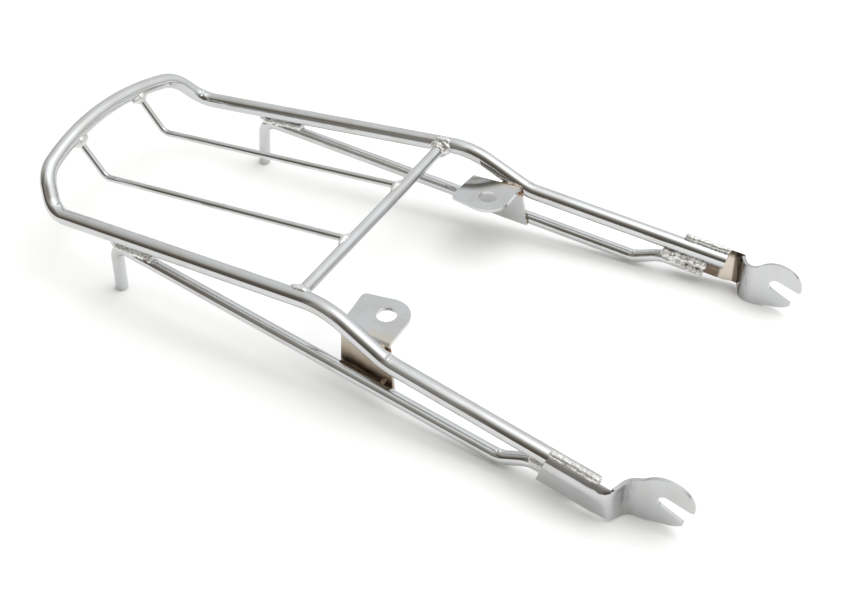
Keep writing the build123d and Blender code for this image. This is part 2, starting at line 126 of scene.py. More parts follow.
SLAT_TOP = up_slope(SLAT_X, CROWN_APEX - CROWN_BEND + math.sqrt(CROWN_BEND ** 2 - SLAT_X ** 2))
SLAT_KNEE = Vector((SLAT_X, REAR_Y + 0.003, 0.053))
SLAT_FRONT = Vector((SLAT_X, CROSS_BAR_Y, CROSS_BAR_Z + 0.004))
SLAT_RISE = (SLAT_TOP - SLAT_KNEE).normalized()
SLAT_RUN = (SLAT_FRONT - SLAT_KNEE).normalized()

# Corners of the strut, from its peg to its raised tail
STRUT_SEAT = between(RAIL_REAR, RAIL_TOP, FOOT_Y - 0.2535) - Vector((0, 0, 0.0131))
STRUT_LOW = between(RAIL_FOOT, RAIL_FRONT, FOOT_Y + 0.0985)
STRUT_LOW.z = 0.0067
STRUT_HEEL = between(STRUT_SEAT, STRUT_LOW, FOOT_Y - 0.2675)
STRUT_RUN = (STRUT_LOW - STRUT_HEEL).normalized()
TAIL_PLACE = UP * -0.016 - RAIL_OUT * 0.002
TAIL_LOW = between(RAIL_FOOT, RAIL_FRONT, FOOT_Y + 0.1215) + TAIL_PLACE
TAIL_TIP = between(RAIL_FOOT, RAIL_FRONT, FOOT_Y + 0.159) + TAIL_PLACE
PEG_DIR = STRUT_RUN.cross(outboard(STRUT_RUN))
PEG_LEAN = math.hypot(PEG_DIR.x, PEG_DIR.y)
PEG_FOOT = STRUT_HEEL + PEG_DIR * ((STRUT_HEEL.z - STRUT_RADIUS * PEG_LEAN) / -PEG_DIR.z)

# The tab's web, between the rail and the strut
TAB_SEAT_BACK = 0.010
TAB_SEAT_Y = FOOT_Y - TAB_SEAT_BACK
TAB_RAIL = between(RAIL_TOP, RAIL_FOOT, TAB_SEAT_Y)
TAB_STRUT = between(STRUT_HEEL, STRUT_LOW, TAB_SEAT_Y)
WEB_HIGH = TAB_RAIL.x - 0.0076
WEB_LOW = TAB_STRUT.x - 0.0061
WEB_LEAN = (WEB_LOW - WEB_HIGH) / (TAB_RAIL.z - TAB_STRUT.z)
TAB_RUN = level(STRUT_RUN)
TAB_OUT = Vector((TAB_RUN.y, -TAB_RUN.x, 0))


def web_point(back, height, proud):
    """A point outboard of the tab web's outer face."""
    start = Vector((WEB_HIGH, TAB_SEAT_Y, 0)) + TAB_RUN * (TAB_SEAT_BACK - back)
    return start + TAB_OUT * (proud - WEB_LEAN * (height - TAB_RAIL.z)) + UP * height


# The fork bracket's leaning wall, its joggle and the line of the bend between them
WALL_LEAN = math.radians(12)
ROLL_OUTER = 0.01025
WALL_SEAT = between(RAIL_FOOT, RAIL_FRONT, FOOT_Y + 0.136)
WALL_CORNER = between(RAIL_FOOT, RAIL_FRONT, FOOT_Y + 0.187) + RAIL_OUT * ROLL_OUTER
WALL_NORMAL = RAIL_OUT * math.cos(WALL_LEAN) - RAIL_UP * math.sin(WALL_LEAN)
FORK_FACE = 0.128
JOGGLE_RUN = Vector((FORK_FACE - WALL_CORNER.x, 0.009, 0)).normalized()
JOGGLE_IN = Vector((-JOGGLE_RUN.y, JOGGLE_RUN.x, 0))
BEND_FOOT = Vector((0.1426, FOOT_Y + 0.186, 0.0013))
BEND_HEAD = Vector((0.1463, FOOT_Y + 0.183, 0.0200))
BEND_ACROSS = (JOGGLE_RUN + level(RAIL_RUN)).normalized()

# How finely things are drawn
LOOP_SIDES = 72
BAR_SIDES = 56
SLAT_SIDES = 40
STRUT_SIDES = 60
LOOP_STEPS = [26, 24, 32, 28]
CROWN_STEPS = 48
SLAT_STEPS = 24
STRUT_STEPS = [26, 20, 16]
RING_MERGE = 0.00001
SMOOTH_ANGLE = 40


# Modelling by hand: selecting, editing and finishing a mesh

def start_fresh():
    """Leaves edit mode and deselects everything."""
    if bpy.context.object and bpy.context.object.mode != "OBJECT":
        bpy.ops.object.mode_set(mode="OBJECT")
    bpy.ops.object.select_all(action="DESELECT")


def take(piece):
    """Makes one piece the selected and active one."""
    start_fresh()
    piece.select_set(True)
    bpy.context.view_layer.objects.active = piece


def edit(piece):
    """Opens a piece in edit mode with all of it selected."""
    take(piece)
    bpy.ops.object.mode_set(mode="EDIT")
    bpy.ops.mesh.select_mode(type="VERT")
    bpy.ops.mesh.select_all(action="SELECT")


def pick(piece, wanted):
    """Selects the vertices for which wanted(vertex) holds, in edit mode."""
    mesh = bmesh.from_edit_mesh(piece.data)
    bpy.ops.mesh.select_all(action="DESELECT")
    for vertex in mesh.verts:
        vertex.select = wanted(vertex)
    mesh.select_flush_mode()
    bmesh.update_edit_mesh(piece.data)


def apply_modifier(piece, kind, **settings):
    """Adds one modifier, sets it and applies it."""
    take(piece)
    modifier = piece.modifiers.new(kind.lower(), kind)
    for name, value in settings.items():
        setattr(modifier, name, value)
    bpy.ops.object.modifier_apply(modifier=modifier.name)


def round_over(piece, width, segments, sharpness):
    """Rounds over the edges that are sharper than an angle."""
    apply_modifier(
        piece,
        "BEVEL",
        width=width,
        segments=segments,
        limit_method="ANGLE",
        angle_limit=math.radians(sharpness),
    )


def settle(piece, smooth_angle):
    """Puts a piece's place into its mesh and smooths its shading up to an angle."""
    take(piece)
    bpy.ops.object.transform_apply(location=True, rotation=True, scale=True)
    bpy.ops.object.shade_smooth_by_angle(angle=math.radians(smooth_angle))


def mirror_copy(piece, name):
    """A left-hand copy of a right-hand piece, with its own mesh."""
    take(piece)
    bpy.ops.object.duplicate(linked=False)
    copy = bpy.context.object
    copy.name = name
    bpy.ops.object.mode_set(mode="EDIT")
    bpy.ops.mesh.select_all(action="SELECT")
    bpy.ops.transform.mirror(
        constraint_axis=(True, False, False),
        orient_type="GLOBAL",
        center_override=(0, 0, 0),
    )
    bpy.ops.mesh.flip_normals()
    bpy.ops.object.mode_set(mode="OBJECT")
    return copy


def roll_tube(name, corners, bends, radius, sides, steps):
    """Draws a tube: a ring is extruded down each straight run and spun round each bend."""
    start_fresh()
    heading = (corners[1] - corners[0]).normalized()
    turn = heading.to_track_quat("Z", "Y").to_euler()
    bpy.ops.mesh.primitive_circle_add(
        vertices=sides, radius=radius, location=corners[0], rotation=turn
    )
    tube = bpy.context.object
    tube.name = name
    bpy.ops.object.transform_apply(location=True, rotation=True, scale=True)
    edit(tube)
    here = corners[0]
    for before, corner, after, bend, count in zip(corners, corners[1:], corners[2:], bends, steps):
        heading = (corner - before).normalized()
        leaving = (after - corner).normalized()
        angle = heading.angle(leaving)
        axis = heading.cross(leaving).normalized()
        touch = corner - heading * bend * math.tan(angle / 2)
        bpy.ops.mesh.extrude_region_move(TRANSFORM_OT_translate={"value": touch - here})
        centre = touch + axis.cross(heading) * bend
        bpy.ops.mesh.spin(steps=count, angle=-angle, center=centre, axis=axis)
        here = corner + leaving * bend * math.tan(angle / 2)
    bpy.ops.mesh.extrude_region_move(TRANSFORM_OT_translate={"value": corners[-1] - here})
    bpy.ops.mesh.select_all(action="SELECT")
    bpy.ops.mesh.remove_doubles(threshold=RING_MERGE)
    bpy.ops.mesh.normals_make_consistent(inside=False)
    bpy.ops.object.mode_set(mode="OBJECT")
    return tube


END_REACH = 0.001
END_CHAMFER = 0.0004


def cap_ends(tube):
    """Closes a rod's open ends with flat faces."""
    edit(tube)
    bpy.ops.mesh.select_all(action="DESELECT")
    bpy.ops.mesh.select_mode(type="EDGE")
    bpy.ops.mesh.select_non_manifold(extend=False)
    bpy.ops.mesh.edge_face_add()
    bpy.ops.mesh.select_all(action="SELECT")
    bpy.ops.mesh.normals_make_consistent(inside=False)
    bpy.ops.object.mode_set(mode="OBJECT")


def chamfer_ends(tube, ends):
    """Chamfers the flat end faces of a rod, each the only many-sided face by its end point."""
    edit(tube)
    bpy.ops.mesh.select_mode(type="EDGE")
    mesh = bmesh.from_edit_mesh(tube.data)
    bpy.ops.mesh.select_all(action="DESELECT")
    for face in mesh.faces:
        if len(face.verts) > 4:
            middle = face.calc_center_median()
            face.select = any((middle - end).length < END_REACH for end in ends)
    mesh.select_flush_mode()
    bmesh.update_edit_mesh(tube.data)
    bpy.ops.mesh.bevel(offset=END_CHAMFER, segments=2, affect="EDGES")
    bpy.ops.object.mode_set(mode="OBJECT")


def press(piece, wanted, move, size):
    """Moves the wanted vertices and, ever less, what lies round them."""
    edit(piece)
    pick(piece, wanted)
    bpy.ops.transform.translate(
        value=move,
        use_proportional_edit=True,
        proportional_edit_falloff="SMOOTH",
        proportional_size=size,
    )
    bpy.ops.object.mode_set(mode="OBJECT")


# Creases in the bends: shift along the bend, shift sideways, half the length, lift
KICK_RIDGES = (
    (-0.0008, 0.0, 0.0022, 0.0006),
    (0.0012, 0.0004, 0.0018, -0.0005),
    (0.003, -0.0006, 0.0014, 0.0003),
)
FOOT_RIDGES = (
    (-0.0018, 0.0, 0.0018, -0.0004),
    (0.0, 0.0003, 0.0022, 0.0005),
    (0.002, -0.0004, 0.0016, -0.0003),
)
RIDGE_HALF_WIDTH = 0.0004
RIDGE_FADE = 0.0011


def wrinkle(tube, corners, bend, radius, ridges):
    """Raises small creases across the inner side of a bend, as bending leaves them."""
    before, corner, after = corners
    heading = (corner - before).normalized()
    leaving = (after - corner).normalized()
    inward = (leaving - heading).normalized()
    along = (leaving + heading).normalized()
    sideways = along.cross(inward)
    middle = corner + inward * bend * (1 / math.cos(heading.angle(leaving) / 2) - 1)
    for shift, aside, half_length, lift in ridges:
        place = middle + inward * radius + along * shift

        def on_ridge(vertex):
            away = vertex.co - place
            return (
                abs(away.dot(along)) < RIDGE_HALF_WIDTH
                and abs(away.dot(sideways) - aside) < half_length
                and away.dot(inward) > -radius
            )

        press(tube, on_ridge, inward * lift, RIDGE_FADE)


# Finishes: shader nodes written as sums

class Signal:
    """A number or colour running between nodes; arithmetic on it adds Math nodes."""

    def __init__(self, board, socket):
        self.board = board
        self.socket = socket

    def math(self, operation, first, second):
        return self.board.node("ShaderNodeMath", {"operation": operation}, {0: first, 1: second})

    def __add__(self, other):
        return self.math("ADD", self, other)

    def __radd__(self, other):
        return self.math("ADD", other, self)

    def __sub__(self, other):
        return self.math("SUBTRACT", self, other)

    def __rsub__(self, other):
        return self.math("SUBTRACT", other, self)

    def __mul__(self, other):
        return self.math("MULTIPLY", self, other)

    def __rmul__(self, other):
        return self.math("MULTIPLY", other, self)


class Board:
    """A node tree, and the one way in which nodes are added to it."""

    def __init__(self, tree):
        self.tree = tree
        tree.nodes.clear()

    def feed(self, socket, value):
        if isinstance(value, Signal):
            self.tree.links.new(value.socket, socket)
        else:
            socket.default_value = value

    def node(self, kind, settings, sockets, output=0):
        made = self.tree.nodes.new(kind)
        for name, value in settings.items():
            if name == "stops":
                ramp = made.color_ramp
                while len(ramp.elements) < len(value):
                    ramp.elements.new(1)
                for element, (position, colour) in zip(ramp.elements, value):
                    element.position = position
                    element.color = (*colour, 1)
            else:
                setattr(made, name, value)
        for name, value in sockets.items():
            self.feed(made.inputs[name], value)
        return Signal(self, made.outputs[output]) if made.outputs else None

    def place(self):
        return self.node("ShaderNodeTexCoord", {}, {}, "Object")

    def noise(self, place, scale, detail):
        sockets = {"Vector": place, "Scale": scale, "Detail": detail}
        return self.node("ShaderNodeTexNoise", {}, sockets, "Fac")

    def stretch(self, place, scale):
        return self.node("ShaderNodeMapping", {}, {"Vector": place, "Scale": scale})

    def spread(self, value, low, high, to_low, to_high):
        """A smooth change from one level to another as a value goes from low to high."""
        return self.node(
            "ShaderNodeMapRange",
            {"interpolation_type": "SMOOTHSTEP"},
            {"Value": value, "From Min": low, "From Max": high, "To Min": to_low, "To Max": to_high},
        )

    def fade_in(self, value, low, high):
        return self.spread(value, low, high, 0.0, 1.0)

    def fade_out(self, value, low, high):
        return self.spread(value, low, high, 1.0, 0.0)

    def blend(self, share, first, second):
        return self.node("ShaderNodeMix", {"data_type": "RGBA"}, {0: share, 6: first, 7: second}, 2)

    def combine(self, way, first, second):
        """Two colours put together in full: multiplied, added or taken away."""
        settings = {"data_type": "RGBA", "blend_type": way}
        return self.node("ShaderNodeMix", settings, {0: 1.0, 6: first, 7: second}, 2)

    def ramp(self, value, stops):
        return self.node("ShaderNodeValToRGB", {"stops": stops}, {"Fac": value})

    def vector_math(self, operation, first, second):
        """A number worked out from two vectors."""
        settings = {"operation": operation}
        return self.node("ShaderNodeVectorMath", settings, {0: first, 1: second}, "Value")

    def right_side(self):
        """Object coordinates with the left side laid over the right one."""
        place = self.place()
        parts = {
            axis: self.node("ShaderNodeSeparateXYZ", {}, {"Vector": place}, axis) for axis in "XYZ"
        }
        parts["X"] = self.node("ShaderNodeMath", {"operation": "ABSOLUTE"}, {0: parts["X"]})
        return self.node("ShaderNodeCombineXYZ", {}, parts)

    def painted(self, name):
        """A mark that was painted on the faces of the piece."""
        return self.node("ShaderNodeAttribute", {"attribute_name": name}, {}, "Fac")

    def reach(self, place, origin, direction):
        """How far a place lies from an origin in one direction."""
        return self.vector_math("DOT_PRODUCT", place, direction) - origin.dot(direction)

    def spot(self, place, centre, inner, outer):
        """A round mark: full up to the inner distance and gone at the outer one."""
        return self.fade_out(self.vector_math("DISTANCE", place, centre), inner, outer)

    def bump(self, height, depth, strength):
        sockets = {"Height": height, "Distance": depth, "Strength": strength}
        return self.node("ShaderNodeBump", {}, sockets)


# Repeats per metre of what the plating shows
CLOUD_GRAIN = 38.0
RUB_GRAIN = (900, 70, 900)
FINE_GRAIN = 420.0
PEEL_GRAIN = 60.0
FINE_SHARE = 0.1
PEEL_STRENGTH = 0.5


def plated(name, colour, tint, gloss, haze, peel, stains_and_shade=None):
    """Chrome plate: a bright metal with faint clouding, a slight peel and fine rubbing marks."""
    material = bpy.data.materials.new(name)
    material.use_nodes = True
    board = Board(material.node_tree)
    place = board.place()
    clouding = board.noise(place, CLOUD_GRAIN, 3.0)
    rubbing = board.noise(board.stretch(place, RUB_GRAIN), 1.0, 2.0)
    fine = board.noise(place, FINE_GRAIN, 2.0)
    shade = board.blend(board.fade_in(clouding, 0.38, 0.68), colour, tint)
    rough = gloss + board.spread(clouding, 0.45, 0.75, 0.0, haze)
    rough = rough + board.spread(rubbing, 0.5, 0.8, 0.0, haze)
    # Marks laid on the colour: real heat marks on the welds, painted shade and reflection on the
    # brackets and the cross bar
    if stains_and_shade:
        shade, dulling = stains_and_shade(board, shade)
        rough = rough + dulling
    height = board.noise(place, PEEL_GRAIN, 1.0) * (1 - FINE_SHARE) + fine * FINE_SHARE
    shader = board.node(
        "ShaderNodeBsdfPrincipled",
        {},
        {
            "Base Color": shade,
            "Metallic": 1.0,
            "Roughness": rough,
            "Normal": board.bump(height, peel, PEEL_STRENGTH),
        },
    )
    board.node("ShaderNodeOutputMaterial", {}, {"Surface": shader})
    return material


# Colours laid on the plating. Beige, tan and the two dark browns are painted reflection and shade on
# the brackets; beige, tan and rust also colour real heat marks by the welds. The grey is press marks
# and painted shade in the fork's bend, and a painted reflection on the cross bar.
BEIGE = (0.60, 0.545, 0.465, 1)
TAN = (0.42, 0.34, 0.255, 1)
POCKET_SHADE_BROWN = (0.15, 0.118, 0.09, 1)
STRUT_SHADE_BROWN = (0.15, 0.115, 0.088, 1)
RUST = (0.17, 0.06, 0.025, 1)
PRESS_MARK_AND_SHADE_GREY = (0.40, 0.405, 0.41, 1)

# Heights above the strut at which each colour on the tab begins to fade and is gone; the beige, tan
# and dark brown bands are a painted reflection that darkens into painted shade above the strut
BEIGE_BAND = (0.026, 0.038)
TAN_BAND = (0.006, 0.026)
STRUT_SHADE_BAND = (0.004, 0.013)
SEAM_BAND = (0.001, 0.004)
BAND_TILT = 0.12
BAND_GRAIN = 110.0
BAND_WAVER = 0.006
TAB_DULLING = 0.30


def tab_painted_shade_and_heat_marks(board, shade):
    """Painted reflection and shade low on the tab's web, beige fading to dark brown towards the
    strut, a painted reflection in beige beside its fold, and a heat mark at the fold's end.
    """
    place = board.right_side()
    web_top = Vector((WEB_HIGH, TAB_SEAT_Y, TAB_RAIL.z))
    proud = board.reach(place, web_top, TAB_OUT + UP * WEB_LEAN)
    outer_face = board.fade_in(proud, -0.0019, -0.0012)
    above_strut = board.reach(place, TAB_STRUT, UP + STRUT_RUN * BAND_TILT)
    above_strut = above_strut + board.noise(place, BAND_GRAIN, 2.0) * BAND_WAVER - BAND_WAVER / 2
    # Painted reflection on the web's outer face: beige high up, then tan lower down
    shade = board.blend(outer_face * board.fade_out(above_strut, *BEIGE_BAND), shade, BEIGE)
    shade = board.blend(outer_face * board.fade_out(above_strut, *TAN_BAND), shade, TAN)
    # Painted shade: dark brown just above the strut, lighter towards the front
    from_middle = board.reach(place, web_point(0.022, 0, 0), TAB_RUN)
    strut_shade = board.fade_out(above_strut, *STRUT_SHADE_BAND) * board.spread(from_middle, 0.0, 0.016, 1.0, 0.35)
    shade = board.blend(outer_face * strut_shade, shade, STRUT_SHADE_BROWN)
    shade = board.blend(outer_face * board.fade_out(above_strut, *SEAM_BAND), shade, TAN)
    # Painted reflection: beige on the sheet beside the fold
    near_fold = board.fade_in(proud, -0.0105, -0.0065) * (1 - outer_face)
    near_fold = near_fold * board.spread(board.reach(place, TAB_RAIL, UP), 0.002, 0.004, 0.0, 0.7)
    from_rear = board.reach(place, web_point(0.030, 0, 0), TAB_RUN)
    near_fold = near_fold * board.fade_in(from_rear, 0.0, 0.012)
    shade = board.blend(near_fold, shade, BEIGE)
    fold_end = web_point(0.0038, 0.0515, -0.0008)
    shade = board.blend(board.spot(place, fold_end, 0.004, 0.008), shade, BEIGE)
    shade = board.blend(board.spot(place, fold_end, 0.002, 0.0048), shade, RUST)
    return shade, outer_face * TAB_DULLING


STREAK_GRAIN = (60, 60, 420)
PRESS_GRAIN = (250, 900, 120)
BEND_DULLING = 0.1
ROLL_SHINE = 0.08


def fork_painted_shade_and_press_marks(board, shade):
    """Painted shade and reflection in the fork bracket's pocket, press marks over an even painted
    shade in its bend, a brighter roll.
    """
    place = board.right_side()
    # Painted shade and reflection in the pocket: streaked dark brown behind the tube, beige past its
    # end
    pocket = board.painted("pocket")
    along = board.reach(place, WALL_SEAT, RAIL_RUN)
    streak = board.noise(board.stretch(place, STREAK_GRAIN), 1.0, 2.0)
    past_tube = board.fade_in(along, 0.036, 0.039)
    brown = board.blend(board.fade_in(streak, 0.52, 0.66) * (1 - past_tube), POCKET_SHADE_BROWN, TAN)
    to_joggle = board.fade_out(board.reach(place, WALL_CORNER, JOGGLE_IN), 0.006, 0.008)
    shade = board.blend(pocket, shade, board.blend(past_tube * (1 - to_joggle), brown, BEIGE))
    # Press marks in the outer bend, over an even painted shade across the whole bend
    from_corner = board.reach(place, WALL_CORNER, FORWARD)
    in_bend = board.fade_in(from_corner, 0.001, 0.007) * board.fade_out(from_corner, 0.009, 0.016)
    marks = board.noise(board.stretch(place, PRESS_GRAIN), 1.0, 2.0)
    pressed_and_shaded = in_bend * board.spread(marks, 0.40, 0.70, 0.35, 1.0) * (1 - pocket)
    shade = board.blend(pressed_and_shaded, shade, PRESS_MARK_AND_SHADE_GREY)
    on_roll = board.fade_in(board.reach(place, WALL_SEAT, RAIL_UP), 0.0, 0.003)
    on_roll = on_roll * board.fade_out(along, 0.047, 0.053)
    return shade, in_bend * BEND_DULLING - on_roll * ROLL_SHINE


def weld_stain(board, shade):
    """Heat colour where the strut's and the tail's welds run out."""
    place = board.right_side()
    strut_end = STRUT_SEAT + STRUT_RUN * 0.024 + UP * 0.0055 + TAB_OUT * 0.004
    tail_end = TAIL_LOW + RAIL_RUN * 0.006 + UP * 0.006
    shade = board.blend(board.spot(place, strut_end, 0.002, 0.005) * 0.8, shade, RUST)
    return board.blend(board.spot(place, tail_end, 0.003, 0.008) * 0.7, shade, TAN), 0.0


LOW_FRONT = Vector((0, 0.85, -0.53))


def bar_painted_reflection(board, shade):
    """Painted reflection: greyer plating low on the cross bar's front, standing in for a darker
    reflection of the floor there.
    """
    # Painted reflection on the lower front of the bar
    low_front = board.reach(board.place(), CROSS_BAR_MIDDLE, LOW_FRONT)
    return board.blend(board.fade_in(low_front, 0.0018, 0.0034), shade, PRESS_MARK_AND_SHADE_GREY), 0.0


tube_chrome = plated(
    "tube_chrome",
    colour=(0.63, 0.64, 0.65, 1),
    tint=(0.585, 0.585, 0.575, 1),
    gloss=0.03,
    haze=0.03,
    peel=0.00003,
)
rod_chrome = plated(
    "rod_chrome",
    colour=(0.63, 0.64, 0.65, 1),
    tint=(0.57, 0.57, 0.56, 1),
    gloss=0.035,
    haze=0.04,
    peel=0.00003,
)
# Chrome a little lighter than the tubes', painted to lift its highlight, with a painted reflection
# low on its front
bar_chrome = plated(
    "bar_chrome",
    colour=(0.65, 0.66, 0.67, 1),
    tint=(0.60, 0.60, 0.59, 1),
    gloss=0.03,
    haze=0.03,
    peel=0.00003,
    stains_and_shade=bar_painted_reflection,
)
tab_chrome = plated(
    "tab_chrome",
    colour=(0.59, 0.60, 0.61, 1),
    tint=(0.55, 0.55, 0.54, 1),
    gloss=0.10,
    haze=0.08,
    peel=0.00004,
    stains_and_shade=tab_painted_shade_and_heat_marks,
)
fork_chrome = plated(
    "fork_chrome",
    colour=(0.58, 0.59, 0.60, 1),
    tint=(0.545, 0.545, 0.54, 1),
    gloss=0.10,
    haze=0.08,
    peel=0.00004,
    stains_and_shade=fork_painted_shade_and_press_marks,
)
weld_chrome = plated(
    "weld_chrome",
    colour=(0.82, 0.82, 0.81, 1),
    tint=(0.72, 0.71, 0.69, 1),
    gloss=0.30,
    haze=0.14,
    peel=0.0001,
    stains_and_shade=weld_stain,
)
burnt_weld = plated(
    "burnt_weld",
    colour=(0.50, 0.41, 0.31, 1),
    tint=(0.24, 0.14, 0.085, 1),
    gloss=0.30,
    haze=0.14,
    peel=0.0001,
)


def finish_piece(piece, material, slot, *replaced):
    """Gives a piece its finish and its body, and hides the nodes that it stands for."""
    piece.data.materials.clear()
    piece.data.materials.append(material)
    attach(piece, "root")
    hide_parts(*replaced)


def finish_rods(rod, left_name, node):
    """Finishes a right-hand rod and makes its left-hand copy."""
    settle(rod, SMOOTH_ANGLE)
    finish_piece(rod, rod_chrome, "rod", f"{node}_right")
    finish_piece(mirror_copy(rod, left_name), rod_chrome, "rod", f"{node}_left")


# Main loop: one tube from the right front end round the raised rear to the left front end
TUBE_END_EASE = 0.0003
TUBE_END_ANGLE = 50
right_corners = [RAIL_FRONT, RAIL_FOOT, RAIL_TOP, RAIL_REAR, RAIL_CORNER]
right_bends = [FOOT_BEND, TOP_BEND, KICK_BEND, CORNER_BEND]
main_loop = roll_tube(
    "main_loop",
    right_corners + [CROWN] + [mirrored(point) for point in reversed(right_corners)],
    right_bends + [CROWN_BEND] + right_bends[::-1],
    RAIL_RADIUS,
    LOOP_SIDES,
    LOOP_STEPS + [CROWN_STEPS] + LOOP_STEPS[::-1],
)
for keep in TO_SIDE.values():
    kick = [keep(point) for point in (RAIL_TOP, RAIL_REAR, RAIL_CORNER)]
    foot = [keep(point) for point in (RAIL_FRONT, RAIL_FOOT, RAIL_TOP)]
    wrinkle(main_loop, kick, KICK_BEND, RAIL_RADIUS, KICK_RIDGES)
    wrinkle(main_loop, foot, FOOT_BEND, RAIL_RADIUS, FOOT_RIDGES)
apply_modifier(main_loop, "SOLIDIFY", thickness=RAIL_WALL, offset=-1, use_rim=True)
round_over(main_loop, TUBE_END_EASE, 2, TUBE_END_ANGLE)
settle(main_loop, SMOOTH_ANGLE)
finish_piece(main_loop, tube_chrome, "tube", "main_loop_tube")

# Cross bar, its ends a little inside the rails
ROD_SINK = 0.001
bar_half = Vector((CROSS_BAR_SEAT.x - RAIL_RADIUS + ROD_SINK, 0, 0))
bar_ends = [CROSS_BAR_MIDDLE + bar_half, CROSS_BAR_MIDDLE - bar_half]
platform_bar = roll_tube("platform_bar", bar_ends, [], CROSS_BAR_RADIUS, BAR_SIDES, [])
cap_ends(platform_bar)
settle(platform_bar, SMOOTH_ANGLE)
finish_piece(platform_bar, bar_chrome, "tube", "cross_bar")

# Slats, from just short of the cross bar's middle to a little inside the hoop
SLAT_SHORT = 0.002
slat_start = SLAT_FRONT - SLAT_RUN * SLAT_SHORT
slat_end = SLAT_TOP - SLAT_RISE * (RAIL_RADIUS - ROD_SINK)
platform_slat = roll_tube(
    "platform_slat_right",
    [slat_start, SLAT_KNEE, slat_end],
    [SLAT_BEND],
    SLAT_RADIUS,
    SLAT_SIDES,
    [SLAT_STEPS],
)
cap_ends(platform_slat)
finish_rods(platform_slat, "platform_slat_left", "slat")

# Struts
lower_strut = roll_tube(
    "lower_strut_right",
    [PEG_FOOT, STRUT_HEEL, STRUT_LOW, TAIL_LOW, TAIL_TIP],
    [PEG_BEND, STRUT_BEND, STRUT_BEND],
    STRUT_RADIUS,
    STRUT_SIDES,
    STRUT_STEPS,
)
cap_ends(lower_strut)
chamfer_ends(lower_strut, [PEG_FOOT, TAIL_TIP])
wrinkle(lower_strut, (STRUT_HEEL, STRUT_LOW, TAIL_LOW), STRUT_BEND, STRUT_RADIUS, FOOT_RIDGES)
finish_rods(lower_strut, "lower_strut_left", "strut")

# Brackets: copies of the folded sheets, shaped further, with their sharp edges eased
SHEET_MERGE = 0.000005
FLAT_ANGLE = 0.5
EDGE_EASE = 0.0004
EDGE_ANGLE = 62
SKIN_FACING = 0.98
SKIN_ANGLE = 65
REAR_SLANT = 11
REAR_END = 0.0008
REAR_MIDDLE = 0.0065
FRONT_DRAW = 0.0052
FRONT_CORNER_Y = FOOT_Y + 0.002
FRONT_CORNER_Z = TAB_RAIL.z - 0.005
POCKET_FACING = 0.5
POCKET_INNER_X = FORK_FACE + 0.0018
POCKET_FRONT_Y = WALL_CORNER.y + 0.010

# Cuts round the fork bracket's outer bend, and how far its smoothing reaches
ACROSS_CUTS = range(-18, 22)
ACROSS_STEP = 0.00075
HEIGHT_CUTS = range(1, 40)
HEIGHT_STEP = 0.00095
CUT_REACH = 0.026
SLIVER = 0.0003
SMOOTH_REACH = 0.011
SMOOTH_FADE = 0.005
SMOOTH_ROUNDS = 40


def bracket_copy(name, node):
    """A merged copy of a sheet bracket, to work on."""
    take(nodes[node])
    bpy.ops.object.duplicate(linked=False)
    bracket = bpy.context.object
    bracket.name = name
    for key in list(bracket.keys()):
        del bracket[key]
    edit(bracket)
    bpy.ops.mesh.remove_doubles(threshold=SHEET_MERGE)
    bpy.ops.mesh.dissolve_limited(angle_limit=math.radians(FLAT_ANGLE))
    bpy.ops.object.mode_set(mode="OBJECT")
    return bracket


def ease_edges(bracket):
    """Rounds over a bracket's cut edges and keeps its flats flat in the light."""
    round_over(bracket, EDGE_EASE, 3, EDGE_ANGLE)
    settle(bracket, EDGE_ANGLE)
    apply_modifier(bracket, "WEIGHTED_NORMAL", mode="FACE_AREA", weight=50, keep_sharp=True)


def from_bend(point):
    """How far a point lies, on the level, from the line of the fork bracket's outer bend."""
    share = (point.z - BEND_FOOT.z) / (BEND_HEAD.z - BEND_FOOT.z)
    away = point - BEND_FOOT.lerp(BEND_HEAD, share)
    return math.hypot(away.x, away.y)


def slant_rear(fork):
    """Turns the bracket's sawn rear end so that its foot trails."""
    edit(fork)
    pick(fork, lambda vertex: (vertex.co - WALL_SEAT).dot(RAIL_RUN) < REAR_END)
    bpy.ops.transform.rotate(
        value=math.radians(REAR_SLANT),
        orient_axis="X",
        orient_type="GLOBAL",
        center_override=WALL_SEAT - RAIL_UP * REAR_MIDDLE,
    )
    bpy.ops.object.mode_set(mode="OBJECT")


def strip_to_skin(fork):
    """Strips a right-hand bracket down to the outer side of its sheet."""
    edit(fork)
    bpy.ops.mesh.select_mode(type="FACE")
    bpy.ops.mesh.select_all(action="DESELECT")
    mesh = bmesh.from_edit_mesh(fork.data)
    facing_out = [face for face in mesh.faces if face.normal.dot(WALL_NORMAL) > SKIN_FACING]
    max(facing_out, key=lambda face: face.calc_area()).select = True
    bmesh.update_edit_mesh(fork.data)
    bpy.ops.mesh.faces_select_linked_flat(sharpness=math.radians(SKIN_ANGLE))
    bpy.ops.mesh.select_all(action="INVERT")
    bpy.ops.mesh.delete(type="FACE")
    bpy.ops.object.mode_set(mode="OBJECT")


